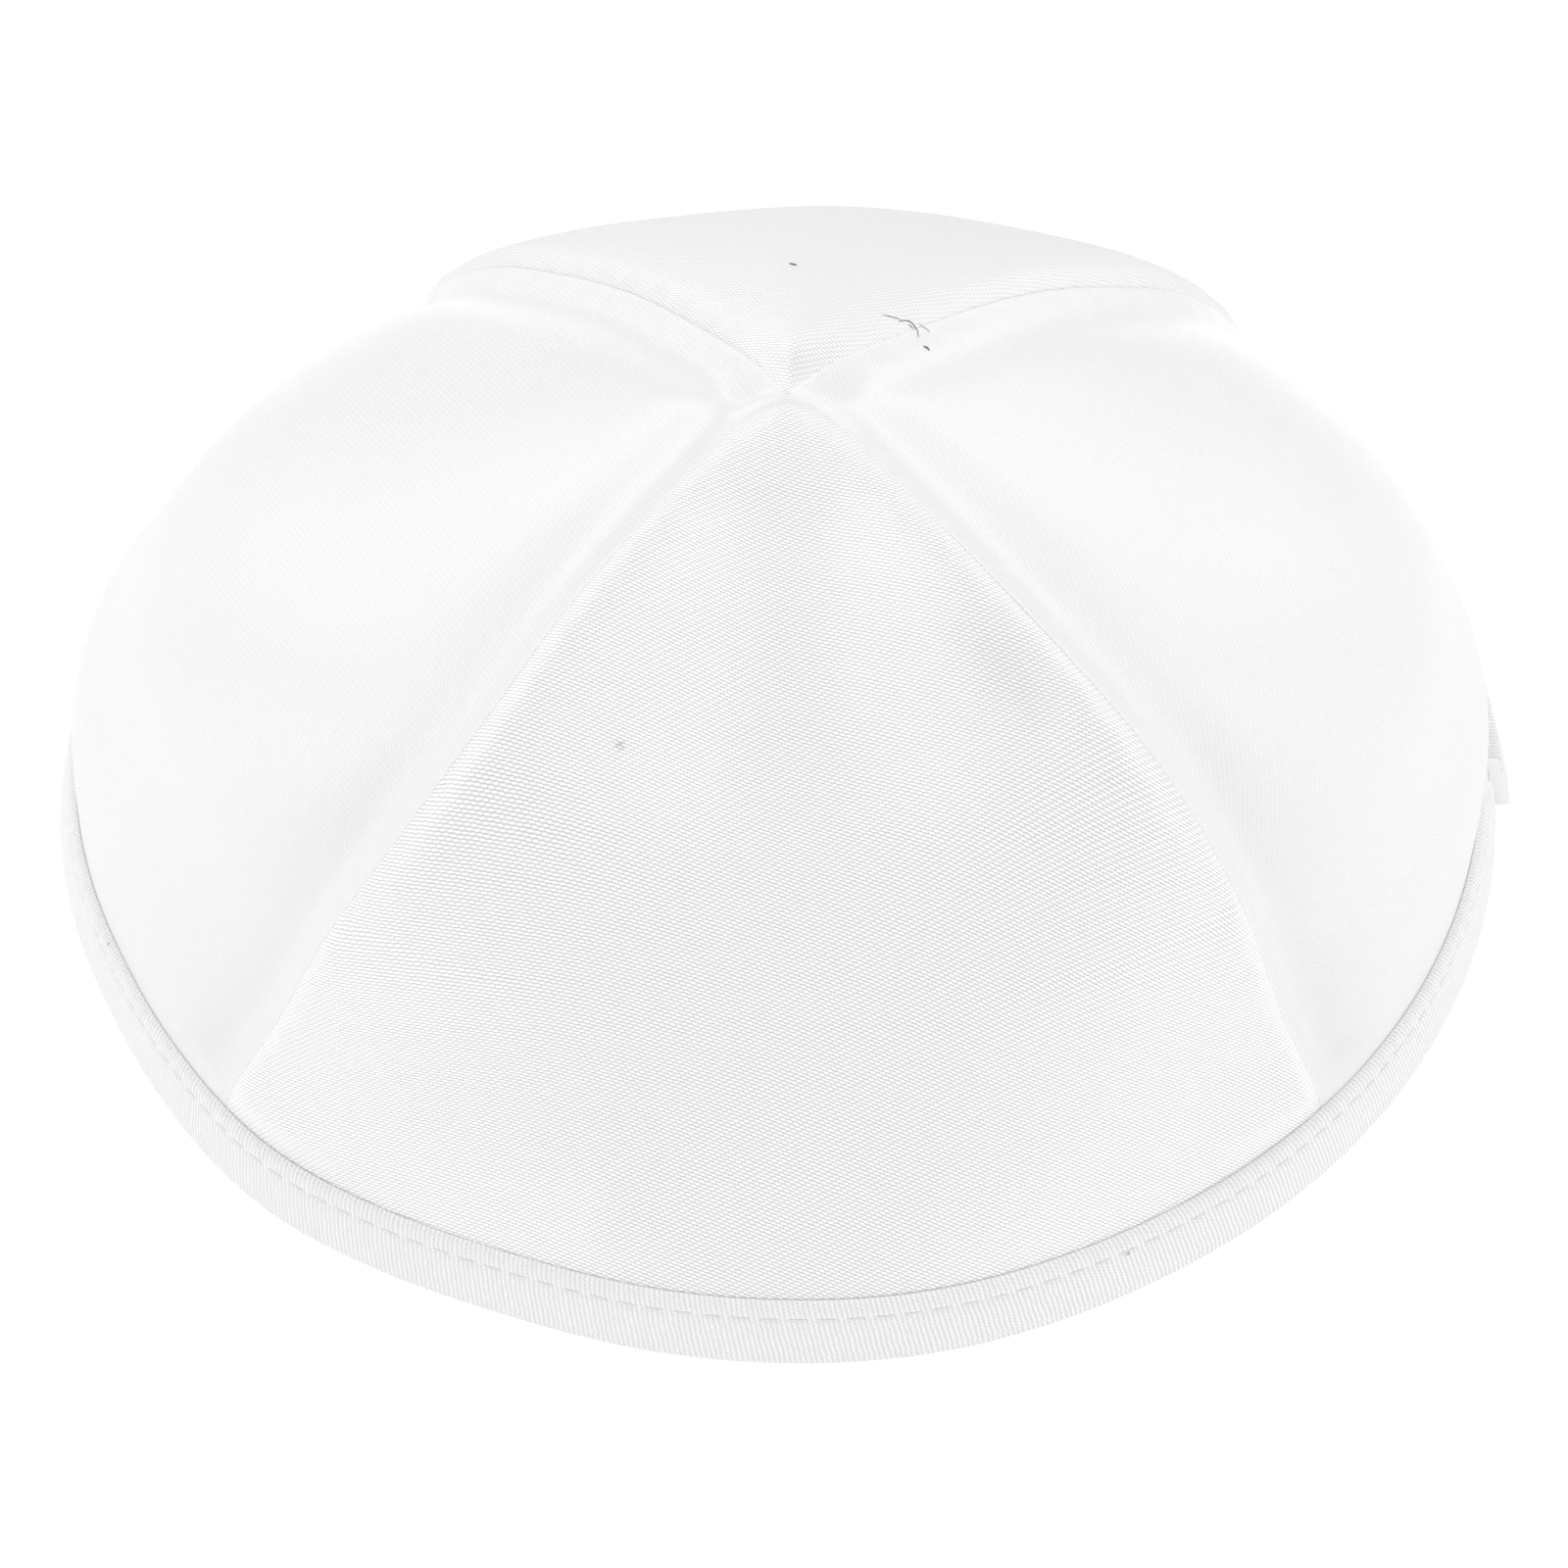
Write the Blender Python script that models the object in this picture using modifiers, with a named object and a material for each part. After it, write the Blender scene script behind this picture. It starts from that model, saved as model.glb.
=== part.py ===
"""Kippah: a skullcap of four satin panels, sewn from rim to apex, with a tape folded round its rim.

Metres, +Z up. The cap stands on its rim: the origin is the centre of the rim, on the surface under it.
The front is at -Y. An azimuth is in degrees, 0 at the front and rising towards +X, the wearer's left.
"""

from collections import namedtuple
from math import cos, pi, radians, sin

import bmesh
import bpy
import numpy as np

# Driving dimensions, in metres
RIM_RADIUS = 0.0853  # outside of the tape, where it stands
CAP_HEIGHT = 0.0585  # from the surface under the rim to the apex
CLOTH = 0.0014  # satin and the facing glued to it
TAPE = 0.0011  # the binding tape, as it is folded round the rim
TAPE_WIDTH = 0.0080  # each leg of the folded tape, from the fold up
STITCH_DROP = 0.0020  # from the tape's upper edge down to its row of stitches
TAPE_PUFF = 0.00025  # how far the strip above the stitches stands proud
TAPE_NIP = 0.0001  # how deep the stitches press the tape in
FOLD_ROUND = 0.0005  # the tape's rounded fold
LAP_LENGTH = 0.012  # the tape's free end lies this far over its start
LAP_RAMP = 0.010  # and comes down to the cloth again over this length
GAP = 0.0003  # clearance between pieces

RIM_LEAN = radians(16.0)  # the tape leans in from the vertical
FREE_END = 86.0  # azimuth of the tape's free end
APEX_SHIFT = (0.0010, -0.0016)  # the apex stands this far from above the origin, in X and Y

# Seams, where two panels meet edge to edge
RIDGE = 0.0016  # the folded allowances lift the seam
RIDGE_HALF = 0.0032  # half of the ridge's width
NICK = 0.0006  # the stitch line lies this deep in the ridge
NICK_HALF = 0.0008  # half of its width
HOLLOW_AT = 0.0080  # from a seam to the hollow beside it
HOLLOW_HALF = 0.0048  # half of the hollow's width
SEAM_FADE = 0.012  # the ridge grows over this length from the apex and dies away above the tape
CROWN = 0.020  # the bellies grow over this length from the apex

# The dome above the tape: shares of its radius and of its height there, from the apex down
Station = namedtuple("Station", "radius height")
DOME = (
    Station(0.00, 1.000),
    Station(0.10, 0.995),
    Station(0.21, 0.963),
    Station(0.37, 0.903),
    Station(0.52, 0.816),
    Station(0.68, 0.686),
    Station(0.815, 0.474),
    Station(0.92, 0.190),
    Station(0.975, 0.063),
    Station(1.00, 0.000),
)

# Seams: where each ends at the rim, how far it bows sideways towards greater azimuth in its upper and
# lower half, how far it stands proud at half way, and its hollows on the sides of lesser and greater
# azimuth. All but the azimuth are shares of RIM_RADIUS.
Seam = namedtuple("Seam", "azimuth bow_high bow_low rise hollow_before hollow_after")
SEAMS = {
    "front_left": Seam(-44.1, 0.048, 0.075, 0.020, 0.011, 0.004),
    "front_right": Seam(46.1, -0.035, -0.028, 0.028, 0.004, 0.011),
    "back_right": Seam(130.0, -0.018, -0.036, 0.032, 0.003, 0.000),
    "back_left": Seam(222.0, -0.034, -0.011, -0.024, 0.002, 0.012),
}

# Panels: the seams at their two sides, and how far their middle stands out from the round dome, in
# the upper, middle and lower part and just above the tape. The last four are shares of RIM_RADIUS.
Panel = namedtuple("Panel", "first last high middle low brim")
PANELS = {
    "front_panel": Panel("front_left", "front_right", -0.062, -0.128, -0.092, -0.006),
    "right_panel": Panel("front_right", "back_right", 0.000, 0.005, 0.060, 0.038),
    "back_panel": Panel("back_right", "back_left", 0.016, -0.005, -0.045, 0.010),
    "left_panel": Panel("back_left", "front_left", 0.000, 0.001, 0.050, 0.037),
}
BELLY_AT = (0.0, 0.30, 0.60, 0.85, 0.97, 1.0)  # shares of the radius: apex, the four above, tape
BOW_AT = (0.0, 0.40, 0.75, 1.0)  # shares of the radius: apex, high, low, tape

# Bends of the rim, out or in: azimuth, half of its width in degrees, and depth as a share of RIM_RADIUS
Bend = namedtuple("Bend", "azimuth half_width depth")
RIM_BENDS = (
    Bend(-86.0, 12.0, 0.007),
    Bend(-61.0, 8.0, -0.004),
    Bend(-39.0, 9.0, 0.010),
    Bend(-18.0, 9.0, -0.007),
    Bend(12.0, 13.0, 0.008),
    Bend(90.0, 13.0, 0.003),
)

# How finely the cloth is divided
SEAM_COLUMNS = (0.0007, 0.0015, 0.0027, 0.0044, 0.0068, 0.0105, 0.0160)  # from a seam
MIDDLE_COLUMNS = 11
ROWS = 17
TUCK_ROWS = 2
TIP_RADIUS = 0.0010  # a panel's tip stops this far from the apex
TIP_COLUMNS = 4
TAPE_STEPS = 84

SATIN_WHITE = (0.90, 0.90, 0.90, 1.0)
TAPE_WHITE = (0.88, 0.88, 0.88, 1.0)

# What follows from the sizes
SLOT = CLOTH + 3 * GAP  # between the tape's legs
LAP_LIFT = TAPE + GAP  # one layer of tape over another
PANEL_FOOT = 2 * LAP_LIFT + CLOTH * sin(RIM_LEAN)  # the panels end above both layers of the fold


def ease(value, start, end):
    """From 0 at start to 1 at end, without a corner."""
    share = np.clip((value - start) / (end - start), 0.0, 1.0)
    return share * share * (3.0 - 2.0 * share)


def hump(distance, half_width):
    """A round hump, 1 at no distance."""
    return np.exp(-((distance / half_width) ** 2))


def smooth(knots, values, at):
    """A curve through the values at the knots, read at the places given."""
    knots, values = np.asarray(knots), np.asarray(values)
    slopes = np.gradient(values, knots)
    place = np.clip(np.searchsorted(knots, at, side="right") - 1, 0, len(knots) - 2)
    width = knots[place + 1] - knots[place]
    t = (at - knots[place]) / width
    rest = 1.0 - t
    return (
        values[place] * rest * rest * (1.0 + 2.0 * t)
        + values[place + 1] * t * t * (3.0 - 2.0 * t)
        + width * (slopes[place] * t * rest * rest - slopes[place + 1] * t * t * rest)
    )


def rim_bend(azimuth):
    """How far the rim stands out at azimuths in radians, as a share of its radius."""
    total = np.zeros_like(azimuth)
    for bend in RIM_BENDS:
        turn = (np.degrees(azimuth) - bend.azimuth + 180.0) % 360.0 - 180.0
        total = total + bend.depth * hump(turn, bend.half_width)
    return total


def on_lean(up, out, bend=0.0):
    """Radius and height of a point: up along the tape's outer face, and out from it."""
    radius = RIM_RADIUS * (1.0 + bend) - up * sin(RIM_LEAN) + out * cos(RIM_LEAN)
    return radius, up * cos(RIM_LEAN) + out * sin(RIM_LEAN)


def at_height(height, out, bend=0.0):
    """Radius and height of the point out from the tape's outer face at this height."""
    return on_lean((height - out * sin(RIM_LEAN)) / cos(RIM_LEAN), out, bend)


TAPE_TOP_RADIUS, TAPE_TOP = on_lean(TAPE_WIDTH, -TAPE - GAP)  # a panel's outside, at the tape's edge


def dome_line():
    """The dome's stations in metres, with the share of the way from the apex to each."""
    radius = np.array([station.radius for station in DOME]) * TAPE_TOP_RADIUS
    height = TAPE_TOP + np.array([station.height for station in DOME]) * (CAP_HEIGHT - TAPE_TOP)
    way = np.concatenate([[0.0], np.cumsum(np.hypot(np.diff(radius), np.diff(height)))])
    return way / way[-1], radius, height


def dome(way):
    """Radius, height and outward normal of the round dome, at shares of the way down."""
    stations, radius, height = dome_line()
    step = 1e-3
    before, after = np.clip(way - step, 0.0, 1.0), np.clip(way + step, 0.0, 1.0)
    run = smooth(stations, radius, after) - smooth(stations, radius, before)
    fall = smooth(stations, height, before) - smooth(stations, height, after)
    length = np.hypot(run, fall)
    return smooth(stations, radius, way), smooth(stations, height, way), fall / length, run / length


def seam_azimuth(seam, radius):
    """A seam's azimuth in radians at each radius."""
    share = radius / TAPE_TOP_RADIUS
    bow = smooth(BOW_AT, (0.0, seam.bow_high, seam.bow_low, 0.0), share)
    return radians(seam.azimuth) + bow * RIM_RADIUS / np.maximum(radius, TIP_RADIUS)


def seam_relief(seam, distance, hollow, strength):
    """How far the cloth stands out beside a seam."""
    ridge = RIDGE * hump(distance, RIDGE_HALF)
    groove = hollow * RIM_RADIUS * hump(distance - HOLLOW_AT, HOLLOW_HALF)
    return strength * (ridge - groove - NICK * hump(distance, NICK_HALF))


def row_columns(width):
    """Distances from a panel's first seam to its columns, in a row of this width."""
    narrow = min(1.0, width / (3.0 * SEAM_COLUMNS[-1]))
    near = [GAP / 2] + [GAP / 2 + (column - GAP / 2) * narrow for column in SEAM_COLUMNS]
    middle = np.linspace(near[-1], width - near[-1], MIDDLE_COLUMNS + 1)[1:-1]
    return np.array(near + list(middle) + [width - column for column in reversed(near)])


def panel_row(panel, way):
    """The points of a panel's outside in one row, at a share of the way from the apex to the tape."""
    first, last = SEAMS[panel.first], SEAMS[panel.last]
    radius, height, normal_out, normal_up = (float(value[0]) for value in dome(np.array([way])))
    start = float(seam_azimuth(first, np.array([radius]))[0])
    end = float(seam_azimuth(last, np.array([radius]))[0])
    if end < start:
        end += 2 * pi
    width = radius * (end - start)
    distance = row_columns(width)
    across = distance / width
    azimuth = start + (end - start) * across

    share = radius / TAPE_TOP_RADIUS
    bellies = (0.0, panel.high, panel.middle, panel.low, panel.brim, 0.0)
    belly = smooth(BELLY_AT, bellies, np.array([share]))[0] * np.sin(pi * across) ** 1.5
    belly = belly * ease(radius, 0.0, CROWN)
    rise = sin(pi * share) * (first.rise * (1.0 - across) + last.rise * across)
    above_tape = height - TAPE_TOP
    strength = ease(radius, 0.0, SEAM_FADE) * ease(above_tape, 0.0, SEAM_FADE / 2)
    relief = (belly + rise) * RIM_RADIUS
    relief = relief + seam_relief(first, distance, first.hollow_after, strength)
    relief = relief + seam_relief(last, width - distance, last.hollow_before, strength)

    out = radius * (1.0 + rim_bend(azimuth) * ease(share, 0.5, 1.0)) + relief * normal_out
    up = height + relief * normal_up
    lean = ease(above_tape, 0.0, CAP_HEIGHT - TAPE_TOP)
    return np.stack([out * np.sin(azimuth) + APEX_SHIFT[0] * lean,
                     -out * np.cos(azimuth) + APEX_SHIFT[1] * lean, up], axis=-1)


def tuck_row(panel, height):
    """The points of a panel's outside in a row inside the tape, at this height."""
    first, last = SEAMS[panel.first], SEAMS[panel.last]
    start, end = radians(first.azimuth), radians(last.azimuth)
    if end < start:
        end += 2 * pi
    width = TAPE_TOP_RADIUS * (end - start)
    azimuth = start + row_columns(width) / TAPE_TOP_RADIUS
    radius, height = at_height(height, -TAPE - GAP, rim_bend(azimuth))
    return np.stack([radius * np.sin(azimuth), -radius * np.cos(azimuth),
                     np.full_like(azimuth, height)], axis=-1)


def new_material(name, colour, roughness):
    """A cloth's material."""
    material = bpy.data.materials.new(name)
    material.use_nodes = True
    shader = material.node_tree.nodes["Principled BSDF"]
    shader.inputs["Base Color"].default_value = colour
    shader.inputs["Roughness"].default_value = roughness
    shader.inputs["Metallic"].default_value = 0.0
    return material


def add_object(name, mesh, material, collection):
    """Links a mesh as a named object with its material."""
    mesh.shade_smooth()
    mesh.set_sharp_from_angle(angle=radians(50.0))
    mesh.materials.append(material)
    piece = bpy.data.objects.new(name, mesh)
    collection.objects.link(piece)
    return piece


def make_panel(name, panel, collection):
    """One panel: a grid laid over the dome between two seams, given the cloth's thickness inward."""
    rows = [tuck_row(panel, height) for height in np.linspace(PANEL_FOOT, TAPE_TOP, TUCK_ROWS + 1)[:-1]]
    tip = TIP_RADIUS / TAPE_TOP_RADIUS
    tip_way = float(np.interp(tip, [s.radius for s in DOME[:2]], [0.0, dome_line()[0][1]]))
    rows += [panel_row(panel, way) for way in np.linspace(1.0, tip_way, ROWS + 1)]
    across = len(rows[0])
    snapped = np.round(np.round(np.linspace(0, TIP_COLUMNS, across)) * (across - 1) / TIP_COLUMNS)
    rows[-1] = rows[-1][snapped.astype(int)]

    grid = bmesh.new()
    bmesh.ops.create_grid(grid, x_segments=across - 1, y_segments=len(rows) - 1, size=0.5)
    for vertex in grid.verts:
        column = round((vertex.co.x + 0.5) * (across - 1))
        row = round((vertex.co.y + 0.5) * (len(rows) - 1))
        vertex.co = rows[row][column]
    bmesh.ops.remove_doubles(grid, verts=grid.verts, dist=1e-6)
    mesh = bpy.data.meshes.new(name)
    grid.to_mesh(mesh)
    grid.free()

    piece = add_object(name, mesh, new_material("satin_" + name, SATIN_WHITE, 0.45), collection)
    thickness = piece.modifiers.new("cloth", "SOLIDIFY")
    thickness.thickness = CLOTH
    thickness.offset = -1.0
    return piece


def tape_profile(azimuth, lift, raised):
    """The folded tape's section at an azimuth: a U round the cloth's edge, from its outer fold round.

    lift spreads the legs over a layer below, and raised brings the fold up off the surface under it.
    """
    bend = rim_bend(np.array([azimuth]))[0]
    puff = TAPE_PUFF * (1.0 - ease(raised, 0.0, LAP_LIFT))
    stitch = TAPE_WIDTH - STITCH_DROP
    inner = -TAPE - SLOT - lift
    section = [
        at_height(raised + FOLD_ROUND, lift, bend),
        on_lean(stitch - STITCH_DROP / 2, lift, bend),
        on_lean(stitch, lift - TAPE_NIP, bend),
        on_lean(stitch + STITCH_DROP / 2, lift + puff, bend),
        on_lean(TAPE_WIDTH, lift - TAPE / 3, bend),
        on_lean(TAPE_WIDTH, lift - TAPE, bend),
        at_height(raised + TAPE, lift - TAPE, bend),
        at_height(raised + TAPE, inner, bend),
        on_lean(TAPE_WIDTH, inner, bend),
        on_lean(TAPE_WIDTH, inner - TAPE, bend),
        at_height(raised + FOLD_ROUND, inner - TAPE, bend),
        at_height(raised, inner - TAPE + FOLD_ROUND, bend),
        at_height(raised, lift - FOLD_ROUND, bend),
    ]
    return [(radius * sin(azimuth), -radius * cos(azimuth), height) for radius, height in section]


def tape_stations():
    """Azimuth, lift and raise of each section, from the free end round to the covered start."""
    lap, ramp, clear = (length / RIM_RADIUS for length in (LAP_LENGTH, LAP_RAMP, 4 * GAP))
    end = radians(FREE_END)
    start = end + 2 * pi + lap
    knots = [end, end + lap + clear, end + lap + clear + ramp, start - lap - clear - ramp,
             start - lap - clear, start]
    steps = [3, 3, TAPE_STEPS, 3, 3]
    azimuths = np.concatenate([
        np.linspace(low, high, count, endpoint=False)
        for low, high, count in zip(knots, knots[1:], steps)
    ] + [[start]])
    lifts = LAP_LIFT * (1.0 - ease(azimuths, knots[1], knots[2]))
    raises = LAP_LIFT * ease(azimuths, knots[3], knots[4])
    return zip(azimuths, lifts, raises)


def make_tape(collection):
    """The binding tape: its section lofted round the rim, once round and over its own start."""
    tape = bmesh.new()
    sections = [
        [tape.verts.new(point) for point in tape_profile(azimuth, lift, raised)]
        for azimuth, lift, raised in tape_stations()
    ]
    for before, after in zip(sections, sections[1:]):
        for corner in range(len(before)):
            beside = (corner + 1) % len(before)
            tape.faces.new((before[corner], before[beside], after[beside], after[corner]))
    tape.faces.new(sections[0])
    tape.faces.new(sections[-1])
    bmesh.ops.recalc_face_normals(tape, faces=tape.faces)
    mesh = bpy.data.meshes.new("edge_tape")
    tape.to_mesh(mesh)
    tape.free()
    return add_object("edge_tape", mesh, new_material("binding_tape", TAPE_WHITE, 0.75), collection)


def main():
    for thing in list(bpy.data.objects):
        bpy.data.objects.remove(thing, do_unlink=True)
    collection = bpy.data.collections.new("kippah_skullcap")
    bpy.context.scene.collection.children.link(collection)
    for name, panel in PANELS.items():
        make_panel(name, panel, collection)
    make_tape(collection)


main()
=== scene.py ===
"""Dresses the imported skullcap: four satin panels with sewn ridges, a ribbed tape round the rim with its
rows of stitches, and the small marks on the cloth.

Metres, +Z up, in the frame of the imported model. An azimuth is in degrees, 0 at the front (-Y) and
rising towards +X.
"""

from collections import namedtuple
from math import cos, pi, radians, sin

import bmesh
import bpy
import numpy as np
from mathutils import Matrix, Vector, noise
from mathutils.bvhtree import BVHTree


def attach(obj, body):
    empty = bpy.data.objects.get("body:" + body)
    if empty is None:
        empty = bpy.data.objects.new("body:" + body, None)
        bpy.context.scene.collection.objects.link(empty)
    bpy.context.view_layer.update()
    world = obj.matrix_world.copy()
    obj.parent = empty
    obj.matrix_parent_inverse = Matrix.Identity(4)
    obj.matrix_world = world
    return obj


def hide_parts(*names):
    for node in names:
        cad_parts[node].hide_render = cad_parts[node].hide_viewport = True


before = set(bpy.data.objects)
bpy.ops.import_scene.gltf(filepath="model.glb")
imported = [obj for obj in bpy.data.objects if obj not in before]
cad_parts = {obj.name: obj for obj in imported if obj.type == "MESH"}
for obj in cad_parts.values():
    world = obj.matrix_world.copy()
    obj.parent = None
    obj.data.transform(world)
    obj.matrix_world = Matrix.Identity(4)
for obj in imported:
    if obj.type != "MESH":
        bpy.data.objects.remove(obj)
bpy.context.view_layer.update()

# Sizes and tables that the part's source has too. The front panel's bellies differ from it by under 1 mm.
RIM_RADIUS = 0.0853
CAP_HEIGHT = 0.0585
CLOTH = 0.0014
TAPE = 0.0011
TAPE_WIDTH = 0.0080
STITCH_DROP = 0.0020
LAP_LENGTH = 0.012
GAP = 0.0003
RIM_LEAN = radians(16.0)
FREE_END = 86.0
APEX_SHIFT = (0.0010, -0.0016)
HOLLOW_AT = 0.0080
HOLLOW_HALF = 0.0048
CROWN = 0.020

Station = namedtuple("Station", "radius height")
DOME = (
    Station(0.00, 1.000),
    Station(0.10, 0.995),
    Station(0.21, 0.963),
    Station(0.37, 0.903),
    Station(0.52, 0.816),
    Station(0.68, 0.686),
    Station(0.815, 0.474),
    Station(0.92, 0.190),
    Station(0.975, 0.063),
    Station(1.00, 0.000),
)
Seam = namedtuple("Seam", "azimuth bow_high bow_low rise hollow_before hollow_after")
SEAMS = {
    "front_left": Seam(-44.1, 0.048, 0.075, 0.020, 0.011, 0.004),
    "front_right": Seam(46.1, -0.035, -0.028, 0.028, 0.004, 0.011),
    "back_right": Seam(130.0, -0.018, -0.036, 0.032, 0.003, 0.000),
    "back_left": Seam(222.0, -0.034, -0.011, -0.024, 0.002, 0.012),
}
Panel = namedtuple("Panel", "first last high middle low brim")
PANELS = {
    "front_panel": Panel("front_left", "front_right", -0.060, -0.119, -0.089, -0.006),
    "right_panel": Panel("front_right", "back_right", 0.000, 0.005, 0.060, 0.038),
    "back_panel": Panel("back_right", "back_left", 0.016, -0.005, -0.045, 0.010),
    "left_panel": Panel("back_left", "front_left", 0.000, 0.001, 0.050, 0.037),
}
BELLY_AT = (0.0, 0.30, 0.60, 0.85, 0.97, 1.0)  # shares of the radius: apex, the four above, tape
BELLY_POWER = {"front_panel": 1.2, "right_panel": 1.5, "back_panel": 1.5, "left_panel": 1.5}
BOW_AT = (0.0, 0.40, 0.75, 1.0)
Bend = namedtuple("Bend", "azimuth half_width depth")
RIM_BENDS = (
    Bend(-86.0, 12.0, 0.007),
    Bend(-61.0, 8.0, -0.004),
    Bend(-39.0, 9.0, 0.010),
    Bend(-18.0, 9.0, -0.007),
    Bend(12.0, 13.0, 0.008),
    Bend(90.0, 13.0, 0.003),
)

# Finer than the source: the cloth's divisions, in metres from a seam
SEAM_EDGE = 0.000006
SEAM_COLUMNS = (
    0.00008, 0.00016, 0.00026, 0.0004, 0.0006, 0.0008, 0.0011, 0.0014, 0.0018, 0.0022, 0.0027,
    0.0033, 0.0040, 0.0048, 0.0057, 0.0067, 0.0079, 0.0093, 0.0110, 0.0130, 0.0155,
)
MIDDLE_COLUMNS = 56
ROWS = 104
TUCK_ROWS = 5
TIP_RADIUS = 0.00006

# The seams: the folded edges lie under one of the two panels, whose border rolls over them, in metres
HIGH_SIDE = {"front_left": 1, "front_right": -1, "back_right": 1, "back_left": -1}  # 1 is after the seam
RIDGE = 0.0008
ROLL_AT = 0.0034  # the roll's crest on the high side, and the dip on the low side
ROLL_UP = 0.0012
ROLL_DOWN = 0.0007
LOW_SPREAD = 0.0042  # how far the seam's rise reaches on the low side
HIGH_SPREAD = 0.0140
VALLEY_AT = 0.0048  # the low side's hollow lies closer to the seam
VALLEY_HALF = 0.0042
SEAM_FADE = 0.006  # the relief grows over this length from the apex, and over half of it from the tape
RELIEF_END = (0.30, 0.95)  # and fades out between these shares of the way to the panel's other seam
LINE_DEPTH = 0.00010  # the stitch line, a fine groove
LINE_LEAST = 0.35  # the share of its depth that it keeps at the apex and at the tape
LINE_HALF = 0.00018
SNUG = 0.00042  # the satin swells towards the tape's edge
TAPE_CALM = 0.006  # over this height above the tape the swelling fades, and dents and waves grow

# A cloth as it is cut, in metres and square metres; nothing here uses it. The panels are triangles with
# bowed sides.
Cut = namedtuple("Cut", "width length area")

# Small folds beside the seams and soft unevenness of the cloth, in metres
PUCKER = 0.00009  # the ridge's shoulders rise and fall by this
PUCKER_PITCH = 0.0052
PUCKER_AT = 0.0016  # their distance from the seam
PUCKER_HALF = 0.0014
WAVE_COARSE = (30.0, 0.00028)  # cycles per metre, depth
WAVE_FINE = (95.0, 0.00005)

# Dents in the cloth: where, half of the length along the cap's slope and half of the width round it in
# metres, how far the length leans in degrees, and the depth, which is below zero where it bulges
Dent = namedtuple("Dent", "panel azimuth radius half_length half_width lean depth")
DENTS = (
    Dent("left_panel", -58.0, 0.070, 0.010, 0.0055, 10.0, -0.0006),
    Dent("left_panel", -50.0, 0.074, 0.012, 0.0035, 5.0, 0.0008),
    Dent("right_panel", 55.0, 0.077, 0.009, 0.006, 0.0, -0.0005),
    Dent("front_panel", 34.6, 0.0435, 0.009, 0.0030, -8.0, 0.00055),
    Dent("front_panel", -12.0, 0.0795, 0.007, 0.0030, 0.0, -0.0003),
)
STEEPEST = 0.35  # the least that a normal is taken to point up, where a dent's length is measured

# The tape
LAP_RAMP = 0.006  # over this length the tape comes back down after the lap
STITCH_PITCH = 0.0030
STITCH_STEPS = 8  # sections for each stitch
STITCH_REACH = 0.86  # the share of its pitch that a stitch spans
STITCH_DIVE = 0.00025  # how deep its ends go into the tape
THREAD = 0.00011  # the sewing thread's radius
# The thread's points, as shares of the stitch from its middle, with the share of its radius at each
THREAD_POINTS = (
    (-0.5, 0.6), (-0.42, 0.9), (-0.3, 1.0), (-0.1, 1.0), (0.1, 1.0), (0.3, 1.0), (0.42, 0.9), (0.5, 0.6),
)
THREAD_NIP = 0.00016  # how deep the stitches pull the tape in
NIP_LEAST = 0.35  # the share of that between two stitches
NIP_HALF = 0.00028
TAPE_PUFF = 0.00025
CLOSING = 0.02
LIP_IN = 0.00125  # the tape's edge reaches this far in, into the satin
LIP_DROP = 0.00055  # the strip over the stitches leans in towards the satin
TAPE_BULGE = 0.00015  # the tape is this much rounder between its fold and the stitches
LAP_FLARE = 0.0003  # the free end stands off a little more
PRESSED = 0.0004  # the free stretch is pressed this far into the stretch under it
# Heights of the section's points along the tape: up its outer leg, then down its inner leg
OUTER_UPS = (
    0.0012, 0.0019, 0.0027, 0.0035, 0.0043, 0.0050, 0.0054, 0.0057, 0.0059, 0.0060, 0.0061, 0.0063,
    0.0066, 0.0070, 0.0074, 0.0077,
)
INNER_UPS = (0.0074, 0.0066, 0.0061, 0.0060, 0.0059, 0.0054, 0.0035, 0.0019)

# The satin's weave, in cycles per metre across the panel and down it
FLOATS = (954.0, -2730.0)  # rows of floats
STEPS = (895.0, 1550.0)  # each float's step along its row
WEAVE_SPAN = (-1.4, 1.2)  # the waves of floats and steps add up to about this range
WEAVE_DEPTH = 0.000010
# how much lighter the floats and darker the gaps between them are painted on each panel: painted highlight
# and painted shade, strongest on the front panel
WEAVE_PAINTED_SHADE = {"front_panel": 0.34, "right_panel": 0.07, "back_panel": 0.24, "left_panel": 0.07}
FACING_THREADS = 1600.0  # cycles per metre both ways
FACING_DEPTH = 0.00003
RIB_PITCH = 0.00054
RIB_SLANT = 0.2  # the ribs lean by this much of their length
RIB_SPAN = (-1.2, 0.8)
RIB_DEPTH = 0.00004
CROSS_PITCH = 0.00042

# How the rows of a weave wander: cycles of noise per metre, and radians to each side
Wander = namedtuple("Wander", "cycles reach")
SATIN_DRIFT = Wander(55.0, 1.2)
SATIN_UNEVEN = Wander(700.0, 0.7)
TAPE_UNEVEN = Wander(500.0, 0.8)
NOISE_SPAN = (0.3, 0.7)  # most of the noise lies in this range

SATIN = (0.84, 0.84, 0.84, 1.0)
SATIN_ROUGHNESS = 0.42
SATIN_GLOSS = {"Anisotropic": 0.85, "Anisotropic Rotation": 0.25, "Specular IOR Level": 1.0, "IOR": 1.55}
FACING = (0.80, 0.79, 0.77, 1.0)
FACING_LIGHT = (0.84, 0.83, 0.81, 1.0)
TAPE_WHITE = (0.94, 0.94, 0.94, 1.0)
TAPE_SHADE = (0.75, 0.75, 0.75, 1.0)
# the thread is white; this grey is painted shade, as the stitches lie pulled into the tape
THREAD_SHADED_GREY = (0.80, 0.80, 0.80, 1.0)
FIBRE_DARK = (0.015, 0.014, 0.013, 1.0)
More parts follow.
